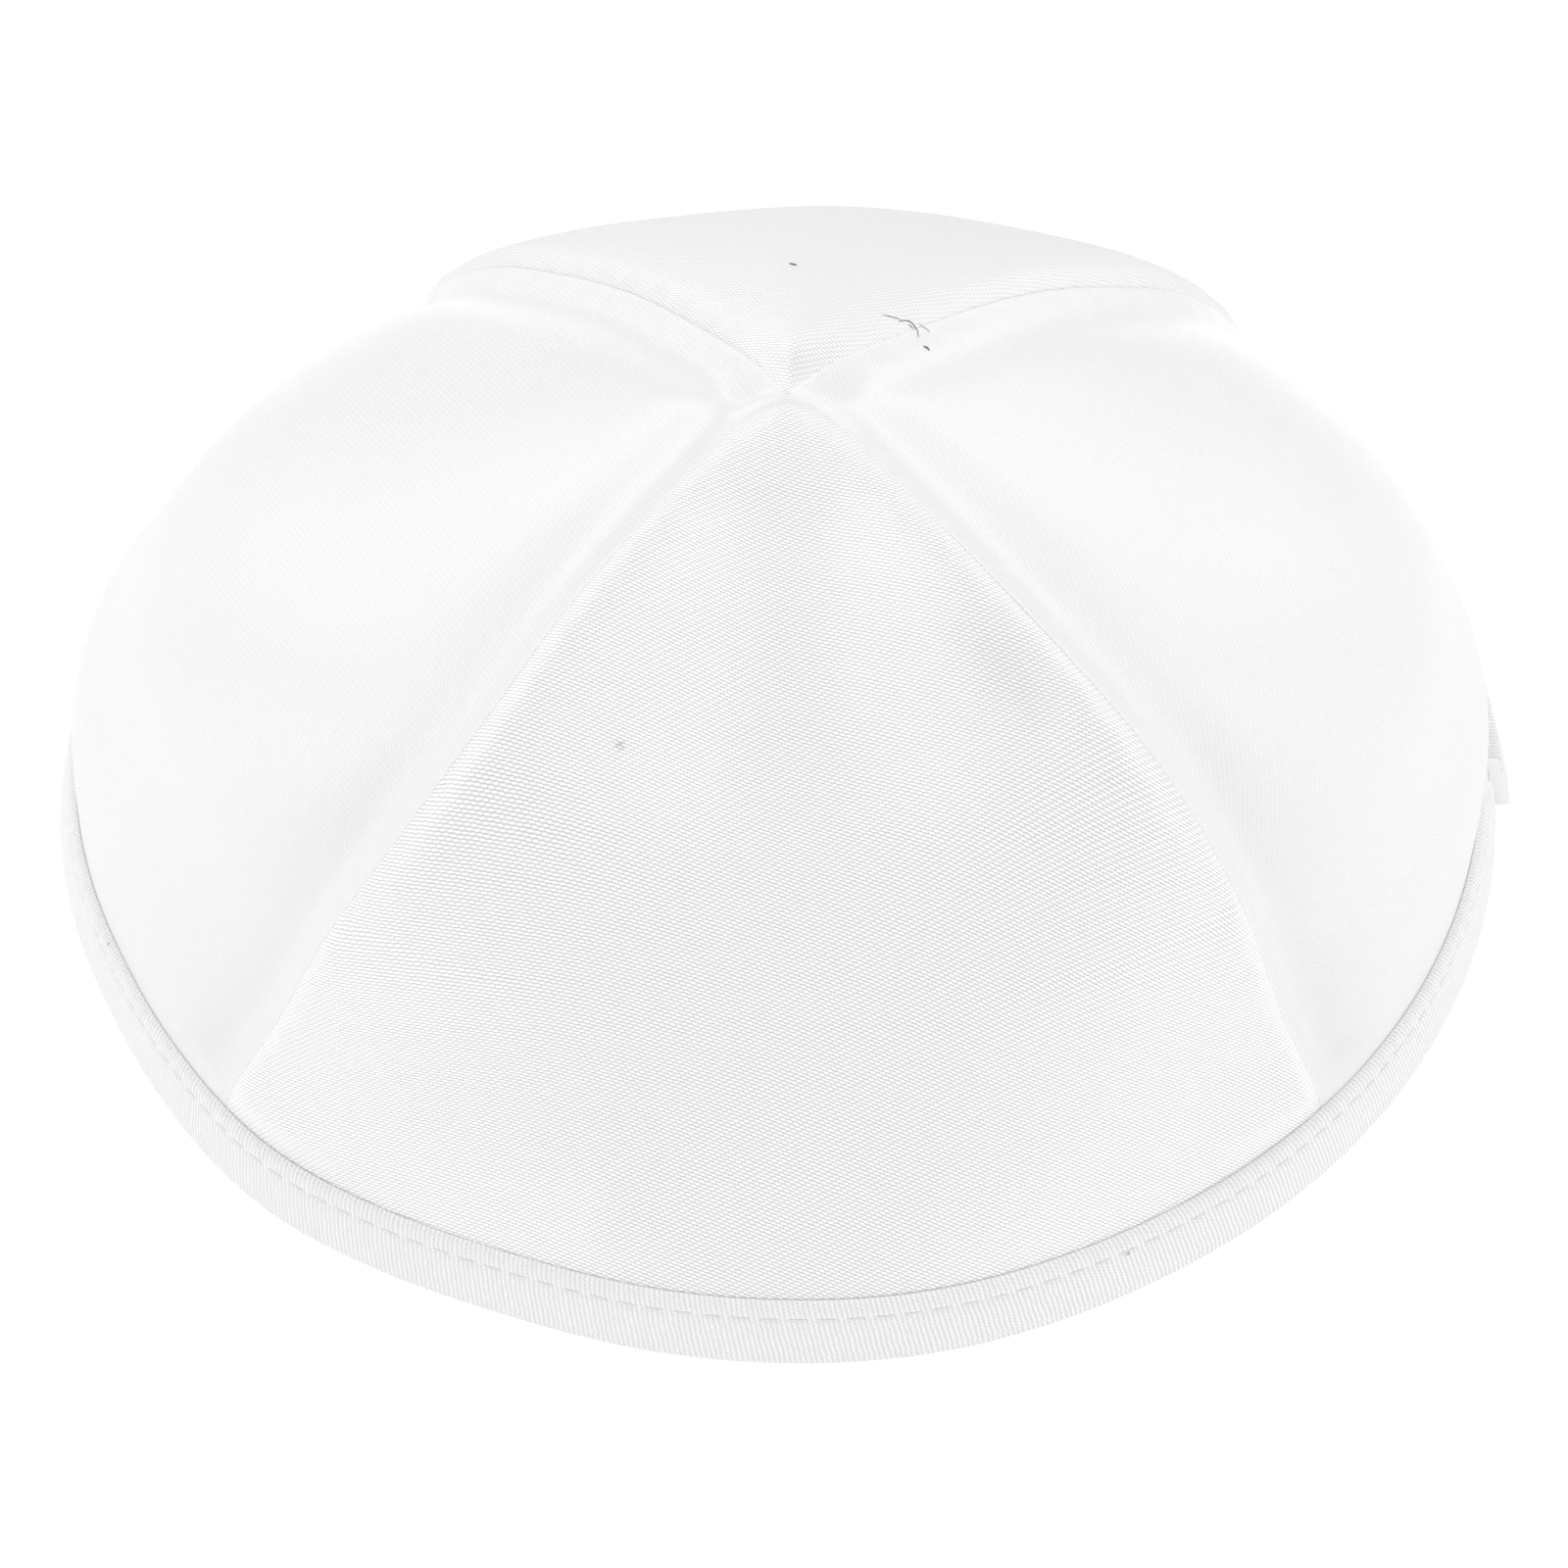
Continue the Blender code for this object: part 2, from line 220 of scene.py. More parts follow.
# the grey of the stains and specks, and of the painted shade in the dent beside the front right seam
STAIN_AND_SHADE_GREY = (0.25, 0.25, 0.25, 1.0)
SPECK_GREY = (0.10, 0.10, 0.10, 1.0)

# What follows from the sizes
SLOT = CLOTH + 3 * GAP
LAP_LIFT = TAPE + GAP
PANEL_FOOT = 2 * LAP_LIFT + CLOTH * sin(RIM_LEAN)


def ease(value, start, end):
    """From 0 at start to 1 at end, without a corner."""
    share = np.clip((value - start) / (end - start), 0.0, 1.0)
    return share * share * (3.0 - 2.0 * share)


def hump(distance, half_width):
    """A round hump, 1 at no distance."""
    return np.exp(-((distance / half_width) ** 2))


def smooth(knots, values, at):
    """A curve through the values at the knots, read at the places given."""
    knots, values = np.asarray(knots), np.asarray(values)
    slopes = np.gradient(values, knots)
    place = np.clip(np.searchsorted(knots, at, side="right") - 1, 0, len(knots) - 2)
    width = knots[place + 1] - knots[place]
    t = (at - knots[place]) / width
    rest = 1.0 - t
    return (
        values[place] * rest * rest * (1.0 + 2.0 * t)
        + values[place + 1] * t * t * (3.0 - 2.0 * t)
        + width * (slopes[place] * t * rest * rest - slopes[place + 1] * t * t * rest)
    )


def rim_bend(azimuth):
    """How far the rim stands out at azimuths in radians, as a share of its radius."""
    total = np.zeros_like(azimuth)
    for bend in RIM_BENDS:
        turn = (np.degrees(azimuth) - bend.azimuth + 180.0) % 360.0 - 180.0
        total = total + bend.depth * hump(turn, bend.half_width)
    return total


def on_lean(up, out, bend=0.0):
    """Radius and height of a point: up along the tape's outer face, and out from it."""
    radius = RIM_RADIUS * (1.0 + bend) - up * sin(RIM_LEAN) + out * cos(RIM_LEAN)
    return radius, up * cos(RIM_LEAN) + out * sin(RIM_LEAN)


def at_height(height, out, bend=0.0):
    """Radius and height of the point out from the tape's outer face at this height."""
    return on_lean((height - out * sin(RIM_LEAN)) / cos(RIM_LEAN), out, bend)


TAPE_TOP_RADIUS, TAPE_TOP = on_lean(TAPE_WIDTH, -TAPE - GAP)


def dome_line():
    """The dome's stations in metres, with the share of the way from the apex to each."""
    radius = np.array([station.radius for station in DOME]) * TAPE_TOP_RADIUS
    height = TAPE_TOP + np.array([station.height for station in DOME]) * (CAP_HEIGHT - TAPE_TOP)
    way = np.concatenate([[0.0], np.cumsum(np.hypot(np.diff(radius), np.diff(height)))])
    return way / way[-1], radius, height


def dome(way):
    """Radius, height and outward normal of the round dome, at shares of the way down."""
    stations, radius, height = dome_line()
    step = 1e-3
    before, after = np.clip(way - step, 0.0, 1.0), np.clip(way + step, 0.0, 1.0)
    run = smooth(stations, radius, after) - smooth(stations, radius, before)
    fall = smooth(stations, height, before) - smooth(stations, height, after)
    length = np.hypot(run, fall)
    return smooth(stations, radius, way), smooth(stations, height, way), fall / length, run / length


def seam_azimuth(seam, radius):
    """A seam's azimuth in radians at each radius."""
    share = radius / TAPE_TOP_RADIUS
    bow = smooth(BOW_AT, (0.0, seam.bow_high, seam.bow_low, 0.0), share)
    return radians(seam.azimuth) + bow * RIM_RADIUS / np.maximum(radius, 0.001)


def seam_relief(seam, distance, side, hollow, strength, along):
    """How far the cloth stands out near a seam, on its high side (1) or its low side (-1)."""
    roll = distance / ROLL_AT * np.exp(0.5 - 0.5 * (distance / ROLL_AT) ** 2)
    if side > 0:
        past = np.maximum(distance - ROLL_AT, 0.0)
        roll = np.where(distance < ROLL_AT, ROLL_UP * roll, ROLL_UP * hump(past, HIGH_SPREAD))
        relief = RIDGE * hump(distance, HIGH_SPREAD) + roll
        place, half = HOLLOW_AT, HOLLOW_HALF
    else:
        relief = RIDGE * hump(distance, LOW_SPREAD) - ROLL_DOWN * roll
        place, half = VALLEY_AT, VALLEY_HALF
    dip = hump(distance - place, half) - hump(place, half) * hump(distance, half / 2)
    relief = strength * (relief - hollow * RIM_RADIUS * dip)
    pucker = sin(2 * pi * along / PUCKER_PITCH + seam.azimuth) + 0.6 * sin(5.3 * pi * along / PUCKER_PITCH)
    relief = relief + strength * PUCKER * pucker * hump(distance - PUCKER_AT, PUCKER_HALF)
    across = distance / (distance[0] + distance[-1])
    relief = relief * (1.0 - ease(across, *RELIEF_END))
    return relief - LINE_DEPTH * max(strength, LINE_LEAST) * hump(distance, LINE_HALF)


def row_columns(width):
    """Distances from a panel's first seam to its columns, in a row of this width."""
    narrow = min(1.0, width / (3.0 * SEAM_COLUMNS[-1]))
    near = [column * narrow for column in (SEAM_EDGE,) + SEAM_COLUMNS]
    middle = np.linspace(near[-1], width - near[-1], MIDDLE_COLUMNS + 1)[1:-1]
    return np.array(near + list(middle) + [width - column for column in reversed(near)])


def unevenness(points, normal_out, normal_up, azimuth):
    """Points moved in and out a little, as cloth is never quite even."""
    moved = points.copy()
    for index, point in enumerate(points):
        offset = 0.0
        for frequency, depth in (WAVE_COARSE, WAVE_FINE):
            offset += depth * noise.noise(Vector(point) * frequency)
        moved[index] += offset * np.array([sin(azimuth[index]) * normal_out,
                                           -cos(azimuth[index]) * normal_out, normal_up])
    return moved


def panel_row(name, panel, way):
    """The points of a panel's outside in one row, at a share of the way from the apex to the tape."""
    first, last = SEAMS[panel.first], SEAMS[panel.last]
    radius, height, normal_out, normal_up = (float(value[0]) for value in dome(np.array([way])))
    start = float(seam_azimuth(first, np.array([radius]))[0])
    end = float(seam_azimuth(last, np.array([radius]))[0])
    if end < start:
        end += 2 * pi
    width = radius * (end - start)
    distance = row_columns(width)
    across = distance / width
    azimuth = start + (end - start) * across

    share = radius / TAPE_TOP_RADIUS
    bellies = (0.0, panel.high, panel.middle, panel.low, panel.brim, 0.0)
    belly = smooth(BELLY_AT, bellies, np.array([share]))[0] * np.sin(pi * across) ** BELLY_POWER[name]
    belly = belly * ease(radius, 0.0, CROWN)
    rise = sin(pi * share) * (first.rise * (1.0 - across) + last.rise * across)
    above_tape = height - TAPE_TOP
    strength = ease(radius, 0.0, SEAM_FADE) * ease(above_tape, 0.0, SEAM_FADE / 2)
    relief = (belly + rise) * RIM_RADIUS
    side = HIGH_SIDE[panel.first]
    relief = relief + seam_relief(first, distance, side, first.hollow_after, strength, radius)
    side = -HIGH_SIDE[panel.last]
    relief = relief + seam_relief(last, width - distance, side, last.hollow_before, strength, radius)
    clear = ease(above_tape, 0.0, TAPE_CALM)
    relief = relief + SNUG * (1.0 - clear)
    for dent in DENTS:
        if dent.panel == name:
            round_it = (azimuth - radians(dent.azimuth)) * radius
            along = (radius - dent.radius) / max(STEEPEST, normal_up)
            lean = radians(dent.lean)
            u = round_it * cos(lean) - along * sin(lean)
            v = round_it * sin(lean) + along * cos(lean)
            relief = relief - clear * dent.depth * hump(u, dent.half_width) * hump(v, dent.half_length)

    out = radius * (1.0 + rim_bend(azimuth) * ease(share, 0.5, 1.0)) + relief * normal_out
    up = height + relief * normal_up
    lean = ease(above_tape, 0.0, CAP_HEIGHT - TAPE_TOP)
    points = np.stack([out * np.sin(azimuth) + APEX_SHIFT[0] * lean,
                       -out * np.cos(azimuth) + APEX_SHIFT[1] * lean, up], axis=-1)
    moved = unevenness(points, normal_out, normal_up, azimuth)
    return points + (moved - points) * clear


def tuck_row(panel, height):
    """The points of a panel's outside in a row inside the tape, at this height."""
    first, last = SEAMS[panel.first], SEAMS[panel.last]
    start, end = radians(first.azimuth), radians(last.azimuth)
    if end < start:
        end += 2 * pi
    width = TAPE_TOP_RADIUS * (end - start)
    azimuth = start + row_columns(width) / TAPE_TOP_RADIUS
    radius, height = at_height(height, SNUG - TAPE - GAP, rim_bend(azimuth))
    return np.stack([radius * np.sin(azimuth), -radius * np.cos(azimuth),
                     np.full_like(azimuth, height)], axis=-1)


def cell_corners(grid):
    """The four corners of each cell of a grid of indices."""
    corners = (grid[:-1, :-1], grid[:-1, 1:], grid[1:, 1:], grid[1:, :-1])
    return np.stack(corners, axis=-1).reshape(-1, 4)


def surface_mesh(name, points, cloth, closed_round=False):
    """A mesh of quads over rows of points, with cloth coordinates in metres as its UV map. Where the rows
    close round, the step from the last point back to the first is CLOSING times all the others."""
    rows, across = points.shape[:2]
    index = np.arange(rows * across).reshape(rows, across)
    if closed_round:
        index = np.concatenate([index, index[:, :1]], axis=1)
    quads = cell_corners(index)
    mesh = bpy.data.meshes.new(name)
    mesh.from_pydata(points.reshape(-1, 3).tolist(), [], quads.tolist())
    layer = mesh.uv_layers.new(name="cloth")
    if closed_round:
        cloth = np.concatenate([cloth, cloth[:, :1] + [0.0, cloth[0, -1, 1] * (1 + CLOSING)]], axis=1)
        corners = np.arange(rows * (across + 1)).reshape(rows, across + 1)
    else:
        corners = index
    layer.data.foreach_set("uv", cloth.reshape(-1, 2)[cell_corners(corners).reshape(-1)].ravel())
    mesh.shade_smooth()
    return mesh


def add_piece(name, mesh, *materials):
    """Links a mesh as a piece of the cap, with its materials."""
    for material in materials:
        mesh.materials.append(material)
    piece = bpy.data.objects.new(name, mesh)
    bpy.context.scene.collection.objects.link(piece)
    return piece


class Nodes:
    """Adds shader nodes to a material, each by one call."""

    def __init__(self, name, colour, roughness):
        self.material = bpy.data.materials.new(name)
        self.material.use_nodes = True
        self.tree = self.material.node_tree
        self.shader = self.tree.nodes["Principled BSDF"]
        self.shader.inputs["Base Color"].default_value = colour
        self.shader.inputs["Roughness"].default_value = roughness

    def put(self, socket, value):
        if isinstance(value, bpy.types.NodeSocket):
            self.tree.links.new(value, socket)
        else:
            socket.default_value = value

    def add(self, kind, output=0, inputs=(), **settings):
        node = self.tree.nodes.new("ShaderNode" + kind)
        for key, value in settings.items():
            setattr(node, key, value)
        for place, value in dict(inputs).items():
            self.put(node.inputs[place], value)
        return node.outputs[output]

    def math(self, operation, first, second=0.0):
        return self.add("Math", inputs={0: first, 1: second}, operation=operation)

    def wave(self, phase):
        return self.math("COSINE", phase)

    def along(self, coordinates, direction):
        """2 pi times the dot product: a phase in radians."""
        turn = 2 * pi
        vector = (direction[0] * turn, direction[1] * turn, 0.0)
        return self.add("VectorMath", "Value", {0: coordinates, 1: vector}, operation="DOT_PRODUCT")

    def noise(self, coordinates, scale, detail=2.0):
        return self.add("TexNoise", "Fac", {"Vector": coordinates, "Scale": scale, "Detail": detail})

    def wander(self, coordinates, cycles, low, high):
        """Noise that runs from low to high."""
        return self.ramp(self.noise(coordinates, cycles), *NOISE_SPAN, low, high)

    def ramp(self, value, low, high, to_low, to_high):
        return self.add("MapRange", "Result", {"Value": value, "From Min": low, "From Max": high,
                                               "To Min": to_low, "To Max": to_high})

    def mix(self, share, first, second):
        return self.add("Mix", 2, {0: share, 6: first, 7: second}, data_type="RGBA")

    def bump(self, height, distance, normal=None):
        node = self.tree.nodes.new("ShaderNodeBump")
        node.inputs["Strength"].default_value = 1.0
        node.inputs["Distance"].default_value = distance
        self.tree.links.new(height, node.inputs["Height"])
        if normal is not None:
            self.tree.links.new(normal, node.inputs["Normal"])
        return node.outputs["Normal"]


# Stains and specks in the satin, and three spots of painted shade that darken the dent beside the front
# right seam: panel, place, radius and how dark each is
StainOrShade = namedtuple("StainOrShade", "panel azimuth radius size strength")
STAINS_AND_DENT_SHADE = (
    StainOrShade("front_panel", -19.6, 0.0447, 0.00070, 0.42),
    # these three are painted shade in the dent beside the front right seam
    StainOrShade("front_panel", 32.6, 0.0385, 0.0036, 0.05),
    StainOrShade("front_panel", 34.4, 0.0428, 0.0036, 0.08),
    StainOrShade("front_panel", 35.2, 0.0470, 0.0030, 0.07),
    StainOrShade("right_panel", 88.1, 0.0449, 0.0004, 0.10),
    StainOrShade("right_panel", 78.0, 0.0612, 0.0004, 0.12),
)
STAIN_OR_SHADE_CORE = 0.4  # a stain or painted shade is darkest within this share of its radius
SPOT_EDGE = 1.2  # and a stain, painted shade or speck is gone at this share
STAIN_OR_SHADE_FRAY = (-0.0001, 0.0003)  # the weave shifts the edge of a stain or painted shade by this much

# Specks on the tape: azimuth, distance up its face, radius and how dark each is
TapeSpeck = namedtuple("TapeSpeck", "azimuth up size strength")
TAPE_SPECKS = (
    TapeSpeck(-63.3, 0.0077, 0.00035, 0.75),
    TapeSpeck(26.9, 0.0058, 0.00030, 0.40),
)
SPECK_CORE = 0.6  # a speck is darkest within this share of its radius


def satin_material(name, stains_and_shade):
    """White satin: rows of floats across the panel, with a soft sheen along them. The floats are painted
    lighter and the gaps between them darker, a painted highlight and shade, and some spots paint the shade
    of a dent.
    """
    n = Nodes("satin_" + name, SATIN, SATIN_ROUGHNESS)
    # the floats get a painted highlight and the gaps between them a painted shade
    light, dark = (SATIN[0] * (1.0 + sign * WEAVE_PAINTED_SHADE[name]) for sign in (1, -1))
    cloth = n.add("UVMap", "UV", uv_map="cloth")
    drift = n.wander(cloth, SATIN_DRIFT.cycles, -SATIN_DRIFT.reach, SATIN_DRIFT.reach)
    uneven = n.wander(cloth, SATIN_UNEVEN.cycles, -SATIN_UNEVEN.reach, SATIN_UNEVEN.reach)
    rows = n.math("ADD", n.along(cloth, FLOATS), n.math("ADD", drift, uneven))
    steps = n.math("ADD", n.along(cloth, STEPS), drift)
    weave = n.wave(rows)
    weave = n.math("ADD", weave, n.math("MULTIPLY", n.wave(steps), 0.5))
    weave = n.math("ADD", weave, n.math("MULTIPLY", n.wave(n.math("ADD", rows, steps)), 0.35))
    weave = n.math("ADD", weave, n.math("MULTIPLY", n.wave(n.math("MULTIPLY", steps, 2.0)), 0.2))
    shade = n.ramp(weave, *WEAVE_SPAN, 0.0, 1.0)
    colour = n.mix(shade, (dark, dark, dark, 1.0), (light, light, light, 1.0))
    place = n.add("NewGeometry", "Position")
    # stains and specks, and the painted shade of the dent beside the front right seam
    for centre, size, strength in stains_and_shade:
        spot = n.add("VectorMath", "Value", {0: place, 1: centre}, operation="DISTANCE")
        spot = n.math("ADD", spot, n.ramp(weave, *WEAVE_SPAN, *STAIN_OR_SHADE_FRAY))
        share = n.ramp(spot, size * STAIN_OR_SHADE_CORE, size * SPOT_EDGE, strength, 0.0)
        colour = n.mix(share, colour, STAIN_AND_SHADE_GREY)
    n.put(n.shader.inputs["Base Color"], colour)
    n.put(n.shader.inputs["Normal"], n.bump(weave, WEAVE_DEPTH))
    for setting, value in SATIN_GLOSS.items():
        n.shader.inputs[setting].default_value = value
    n.put(n.shader.inputs["Tangent"], n.add("Tangent", "Tangent", direction_type="UV_MAP", uv_map="cloth"))
    return n.material


def facing_material():
    """The plain cloth fused to the satin's back."""
    n = Nodes("facing", FACING, 0.85)
    cloth = n.add("UVMap", "UV", uv_map="cloth")
    warp = n.wave(n.along(cloth, (FACING_THREADS, 0.0)))
    weft = n.wave(n.along(cloth, (0.0, FACING_THREADS)))
    n.put(n.shader.inputs["Normal"], n.bump(n.math("MULTIPLY", warp, weft), FACING_DEPTH))
    n.put(n.shader.inputs["Base Color"], n.mix(n.wander(cloth, 90.0, 0.0, 1.0), FACING, FACING_LIGHT))
    return n.material


def tape_material():
    """A ribbed woven tape: ribs across it, crossed by finer threads."""
    n = Nodes("tape_weave", TAPE_WHITE, 0.8)
    cloth = n.add("UVMap", "UV", uv_map="cloth")
    uneven = n.wander(cloth, TAPE_UNEVEN.cycles, -TAPE_UNEVEN.reach, TAPE_UNEVEN.reach)
    ribs = n.math("ADD", n.along(cloth, (1 / RIB_PITCH, RIB_SLANT / RIB_PITCH)), uneven)
    cross = n.math("ADD", n.along(cloth, (0.5 / RIB_PITCH, 1 / CROSS_PITCH)), uneven)
    height = n.math("ADD", n.wave(ribs), n.math("MULTIPLY", n.wave(cross), 0.4))
    shade = n.ramp(height, *RIB_SPAN, 0.0, 1.0)
    colour = n.mix(shade, TAPE_SHADE, TAPE_WHITE)
    place = n.add("NewGeometry", "Position")
    for speck in TAPE_SPECKS:
        turn = radians(speck.azimuth)
        radius, up = on_lean(speck.up, 0.0, float(rim_bend(np.array([turn]))[0]))
        centre = (radius * sin(turn), -radius * cos(turn), up)
        spot = n.add("VectorMath", "Value", {0: place, 1: centre}, operation="DISTANCE")
        share = n.ramp(spot, speck.size * SPECK_CORE, speck.size * SPOT_EDGE, speck.strength, 0.0)
        colour = n.mix(share, colour, SPECK_GREY)
    n.put(n.shader.inputs["Base Color"], colour)
    n.put(n.shader.inputs["Normal"], n.bump(height, RIB_DEPTH))
    n.shader.inputs["Sheen Weight"].default_value = 0.15
    return n.material


def plain_material(name, colour, roughness, grain=0.0, depth=0.0):
    """One colour, with a fine grain where it has one."""
    n = Nodes(name, colour, roughness)
    place = n.add("NewGeometry", "Position")
    if grain:
        n.put(n.shader.inputs["Normal"], n.bump(n.noise(place, grain), depth))
        low = tuple(value * 0.85 for value in colour[:3]) + (1.0,)
        n.put(n.shader.inputs["Base Color"], n.mix(n.noise(place, grain / 3), low, colour))
    return n.material


def cloth_coordinates(points):
    """Where each point lies in the panel's flat pattern, in metres from its apex, with +V downwards."""
    steps = np.linalg.norm(np.diff(points, axis=1), axis=2)
    across = np.concatenate([np.zeros((len(points), 1)), np.cumsum(steps, axis=1)], axis=1)
    middle = points.shape[1] // 2
    across = across - across[:, middle:middle + 1]
    down = np.linalg.norm(np.diff(points[:, middle], axis=0), axis=1)
    down = np.concatenate([[0.0], np.cumsum(down)])
    reach = (down[-1] - down)[:, None] + 0.001
    return np.stack([reach * np.sin(across / reach), reach * np.cos(across / reach)], axis=-1)


def make_panel(name, panel, facing):
    """One satin panel, over the dome between two seams."""
    rows = [tuck_row(panel, height) for height in np.linspace(PANEL_FOOT, TAPE_TOP, TUCK_ROWS + 1)[:-1]]
    tip = TIP_RADIUS / TAPE_TOP_RADIUS
    tip_way = float(np.interp(tip, [s.radius for s in DOME[:2]], [0.0, dome_line()[0][1]]))
    rows += [panel_row(name, panel, way) for way in np.linspace(1.0, tip_way, ROWS + 1)]
    points = np.array(rows)
    mesh = surface_mesh(name.replace("panel", "satin"), points, cloth_coordinates(points))
    tree = BVHTree.FromPolygons([vertex.co for vertex in mesh.vertices],
                                [tuple(face.vertices) for face in mesh.polygons])
    # this panel's stains and specks, with the painted shade of its dent
    stains_and_shade = [(surface_point(tree, stain_or_shade.azimuth, stain_or_shade.radius)[0], stain_or_shade.size, stain_or_shade.strength)
              for stain_or_shade in STAINS_AND_DENT_SHADE if stain_or_shade.panel == name]
    piece = add_piece(mesh.name, mesh, satin_material(name, stains_and_shade), facing)
    thickness = piece.modifiers.new("cloth", "SOLIDIFY")
    thickness.thickness = CLOTH
    thickness.offset = -1.0
    thickness.material_offset = 1
    thickness.material_offset_rim = 1
    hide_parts(name)
    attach(piece, "root")
    return mesh


def surface_point(tree, azimuth, radius):
    """The point of a panel's outside at an azimuth and radius, and the normal there."""
    turn = radians(azimuth)
    above = Vector((radius * sin(turn), -radius * cos(turn), 0.2))
    place, normal, *_ = tree.ray_cast(above, Vector((0.0, 0.0, -1.0)))
    return place, normal if normal.z > 0 else -normal


def tape_lift(azimuth):
    """How far the tape's free stretch lies over its start, and how far its start is raised, at azimuths."""
    lap, ramp, clear = (length / RIM_RADIUS for length in (LAP_LENGTH, LAP_RAMP, 4 * GAP))
    end = radians(FREE_END)
    start = end + 2 * pi + lap
    lift = LAP_LIFT * (1.0 - ease(azimuth, end + lap + clear, end + lap + clear + ramp))
    lift = lift + LAP_FLARE * (1.0 - ease(azimuth, end, end + lap * 0.8))
    return lift, LAP_LIFT * ease(azimuth, start - lap - clear - ramp, start - lap - clear)


def tape_profile(azimuth, lift, raised):
    """The folded tape's section at an azimuth, as rows of height along it and distance out."""
    bend = rim_bend(np.array([azimuth]))[0]
    along = azimuth * RIM_RADIUS
    beat = cos(2 * pi * along / STITCH_PITCH)
    pulled = NIP_LEAST + (1.0 - NIP_LEAST) * float(ease(beat, -0.95, -0.2))
    stitch = TAPE_WIDTH - STITCH_DROP
    inner = -TAPE - SLOT - lift
    back = min(lift - TAPE, -PRESSED)
    points = []

    def face(up, out, side):
        nip = THREAD_NIP * pulled * float(hump(up - stitch, NIP_HALF))
        below = min(max(up / stitch, 0.0), 1.0)
        above = min(max((up - stitch) / STITCH_DROP, 0.0), 1.0)
        bulge = TAPE_BULGE * sin(pi * below) if up < stitch else 0.0
        puff = TAPE_PUFF * sin(pi * above) if up > stitch else 0.0
        puff = puff * (1.0 + 0.25 * beat) * (1.0 - min(raised / LAP_LIFT, 1.0))
        puff = puff - LIP_DROP * max(up - stitch, 0.0) / STITCH_DROP
        return on_lean(up, out + side * (bulge + puff - nip), bend)

    for up in OUTER_UPS:
        slack = 0.5 * raised * (1 - up / stitch) if up < stitch else 0.0
        points.append(face(up + slack, lift, 1))
    lip = (
        (0.00786, lift - 0.00065),
        (0.00796, lift - 0.00086),
        (TAPE_WIDTH, 0.0002 - LIP_IN),
        (0.0079, -LIP_IN),
        (0.0077, back),
    )
    points += [on_lean(up, out, bend) for up, out in lip]
    points += [at_height(raised + TAPE, out, bend) for out in (back, inner)]
    inner_lip = ((0.0078, inner), (TAPE_WIDTH, inner - 0.0005), (0.0078, inner - 0.0009))
    points += [on_lean(up, out, bend) for up, out in inner_lip]
    points += [face(up, inner - TAPE, -1) for up in INNER_UPS]
    fold = (
        (0.0005, inner - TAPE),
        (0.00015, inner - 0.00085),
        (0.0, inner - 0.0004),
        (0.0, lift - 0.0005),
        (0.00015, lift - 0.00015),
        (0.0005, lift),
    )
    points += [at_height(raised + height, out, bend) for height, out in fold]
    return [(radius * sin(azimuth), -radius * cos(azimuth), height) for radius, height in points]


def close_ends(mesh, width):
    """Fills the two open ends of a lofted tube whose sections have this many points."""
    edit = bmesh.new()
    edit.from_mesh(mesh)
    edit.verts.ensure_lookup_table()
    first, last = list(edit.verts)[:width], list(reversed(edit.verts[-width:]))
    ends = [edit.faces.new(first), edit.faces.new(last)]
    bmesh.ops.recalc_face_normals(edit, faces=edit.faces)
    for end in ends:
        end.smooth = False
    edit.to_mesh(mesh)
    edit.free()


def make_tape(stitches):
    """The binding tape, lofted round the rim and over its own start. The rows of stitches given to it are
    not used.
    """
    end = radians(FREE_END)
    start = end + 2 * pi + LAP_LENGTH / RIM_RADIUS
    count = round((start - end) * RIM_RADIUS / STITCH_PITCH) * STITCH_STEPS
    azimuths = np.linspace(end, start, count + 1)
    lifts, raises = tape_lift(azimuths)
    points = np.array([tape_profile(*station) for station in zip(azimuths, lifts, raises)])
    steps = np.linalg.norm(np.diff(points[0], axis=0), axis=1)
    girth = np.concatenate([[0.0], np.cumsum(steps)])
    cloth = np.stack(np.meshgrid(azimuths * RIM_RADIUS, girth, indexing="ij"), axis=-1)
    mesh = surface_mesh("edge_tape_weave", points, cloth, closed_round=True)
    close_ends(mesh, points.shape[1])
    piece = add_piece("edge_tape_weave", mesh, tape_material())
    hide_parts("edge_tape")
    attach(piece, "root")


def tube(points, radii, sides=6):
    """Vertices and faces of a closed tube along points, each with its own radius."""
    points = [Vector(point) for point in points]
    vertices, faces = [], []
    for index, (point, radius) in enumerate(zip(points, radii)):
        ahead = points[min(index + 1, len(points) - 1)] - points[max(index - 1, 0)]
        side = ahead.cross(Vector((0.0, 0.0, 1.0)))
        if side.length < 1e-9:
            side = Vector((1.0, 0.0, 0.0))
        side.normalize()
        rise = side.cross(ahead).normalized()
        for corner in range(sides):
            turn = 2 * pi * corner / sides
            vertices.append(point + radius * (cos(turn) * side + sin(turn) * rise))
    for ring in range(len(points) - 1):
        for corner in range(sides):
            beside = (corner + 1) % sides
            faces.append((ring * sides + corner, ring * sides + beside,
                          (ring + 1) * sides + beside, (ring + 1) * sides + corner))
    faces.append(tuple(reversed(range(sides))))
    faces.append(tuple(range((len(points) - 1) * sides, len(points) * sides)))
    return vertices, faces


def joined(name, tubes, material):
    """One mesh object made of many tubes."""
    vertices, faces = [], []
    for tube_vertices, tube_faces in tubes:
        base = len(vertices)
        vertices += tube_vertices
        faces += [tuple(base + corner for corner in face) for face in tube_faces]
    mesh = bpy.data.meshes.new(name)
    mesh.from_pydata(vertices, [], faces)
    mesh.shade_smooth()
    return add_piece(name, mesh, material)


